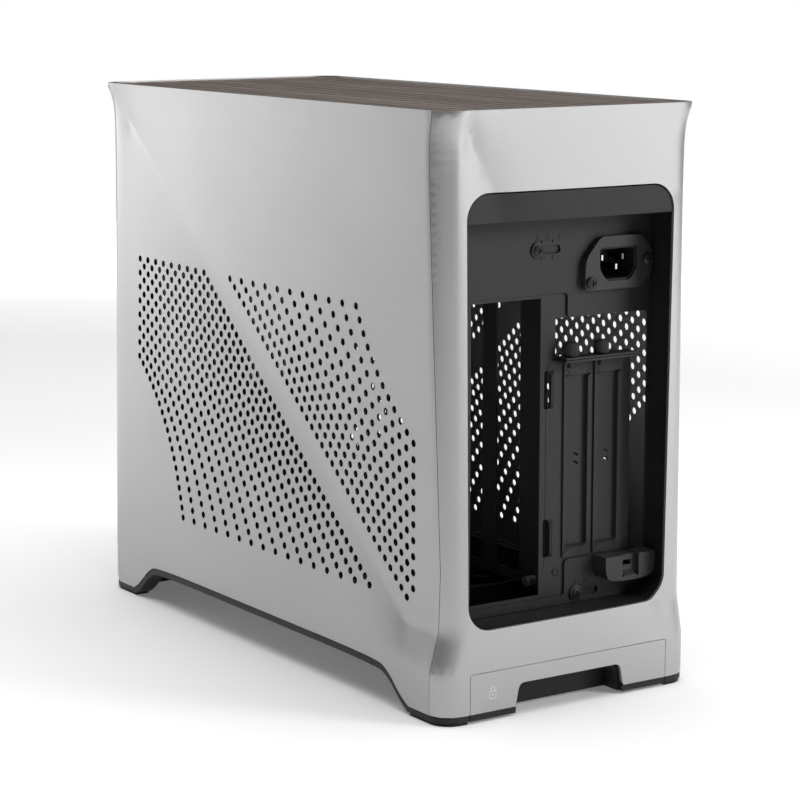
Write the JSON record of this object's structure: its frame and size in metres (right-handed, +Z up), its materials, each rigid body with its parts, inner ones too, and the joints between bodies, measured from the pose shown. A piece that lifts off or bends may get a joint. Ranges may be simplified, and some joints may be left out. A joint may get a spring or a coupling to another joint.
{
  "type": "mini-itx computer case",
  "caption": "Slim silver desktop computer case with folded aluminium faces, a slotted walnut top, a recessed black rear and a pull-out lock drawer in its arched base.",
  "frame": {"origin": "on the floor, under the centre of the case", "axes": "+Z up, +Y towards the rear where the connectors are, +X towards the board chamber (the right side seen from the front)"},
  "size_m": [0.165, 0.366, 0.314],
  "materials": {
    "anodised_aluminium": "fine bead-blasted silver anodising",
    "walnut": "oiled, grain along the length",
    "black_steel": "fine textured black powder coat",
    "black_plastic": "fine spark-eroded texture",
    "grey_plastic": "moulded satin",
    "rubber_foot": "matt",
    "bright_steel": "plated",
    "filter_mesh": "fine woven nylon mesh"
  },
  "bodies": {
    "chassis": {"base_ring": "black_plastic", "floor_tray": "black_steel", "dust_filter_frame": "black_plastic", "foot_pad_1": "rubber_foot", "foot_pad_2": "rubber_foot", "foot_pad_3": "rubber_foot", "foot_pad_4": "rubber_foot", "filter_mesh_1": "filter_mesh", "filter_mesh_2": "filter_mesh", "fan_frame_1": "black_plastic", "fan_frame_2": "black_plastic", "front_panel": "anodised_aluminium", "rear_panel": "anodised_aluminium", "rear_header": "black_plastic", "chassis_frame": "black_steel", "front_wall": "black_steel", "rear_wall": "black_steel", "recess_liner": "black_plastic", "top_bracket": "black_steel", "rim_frame": "black_plastic", "psu_bracket": "black_steel", "ac_inlet": "grey_plastic", "cable_anchor": "grey_plastic", "inlet_pin_1": "bright_steel", "inlet_pin_2": "bright_steel", "inlet_pin_3": "bright_steel", "inlet_screw_1": "black_steel", "inlet_screw_2": "black_steel", "port_bezel": "black_plastic", "usb_a_port_1": "bright_steel", "usb_a_port_2": "bright_steel", "usb_c_port": "bright_steel"},
    "lock_drawer": {"drawer_front": "anodised_aluminium", "drawer_tray": "black_plastic"},
    "right_side": {"side_panel_right": "anodised_aluminium"},
    "left_side": {"side_panel_left": "anodised_aluminium"},
    "top": {"top_panel": "walnut", "top_carrier": "black_plastic"},
    "spine": {"spine_plate": "black_steel", "spine_tray": "black_steel", "slot_clamp": "black_steel", "riser_socket": "black_plastic", "standoff_1": "bright_steel", "standoff_2": "bright_steel", "standoff_3": "bright_steel", "standoff_4": "bright_steel", "slot_cover_1": "black_steel", "slot_cover_2": "black_steel", "adjuster_screw_1": "black_steel", "adjuster_screw_2": "black_steel"},
    "slot_screw_1": {"thumbscrew_1": "black_steel"},
    "slot_screw_2": {"thumbscrew_2": "black_steel"},
    "front_rotor": {"fan_rotor_1": "black_plastic"},
    "rear_rotor": {"fan_rotor_2": "black_plastic"},
    "button": {"power_button": "anodised_aluminium"}
  },
  "joints": [
    {"name": "drawer_slide", "type": "slide", "parent": "chassis", "child": "lock_drawer", "axis": [0, 1, 0], "range_m": [0, 0.03]},
    {"name": "right_side_off", "type": "slide", "parent": "chassis", "child": "right_side", "axis": [1, 0, 0], "range_m": [0, 0.06]},
    {"name": "left_side_off", "type": "slide", "parent": "chassis", "child": "left_side", "axis": [-1, 0, 0], "range_m": [0, 0.06]},
    {"name": "top_off", "type": "slide", "parent": "chassis", "child": "top", "axis": [0, 0, 1], "range_m": [0, 0.06]},
    {"name": "spine_slide", "type": "slide", "parent": "chassis", "child": "spine", "axis": [-1, 0, 0], "range_m": [0, 0.013]},
    {"name": "slot_screw_1_turn", "type": "hinge", "parent": "spine", "child": "slot_screw_1", "pos_m": [-0.0124, 0.1641, 0.187], "axis": [0, 0, 1], "continuous": true},
    {"name": "slot_screw_2_turn", "type": "hinge", "parent": "spine", "child": "slot_screw_2", "pos_m": [-0.0327, 0.1641, 0.187], "axis": [0, 0, 1], "continuous": true},
    {"name": "front_fan_turn", "type": "hinge", "parent": "chassis", "child": "front_rotor", "pos_m": [0, -0.061, 0.0385], "axis": [0, 0, 1], "continuous": true},
    {"name": "rear_fan_turn", "type": "hinge", "parent": "chassis", "child": "rear_rotor", "pos_m": [0, 0.061, 0.0385], "axis": [0, 0, 1], "continuous": true},
    {"name": "power_button_press", "type": "slide", "parent": "chassis", "child": "button", "axis": [0, 1, 0], "range_m": [0, 0.0012], "stiffness_N_per_m": 400}
  ]
}
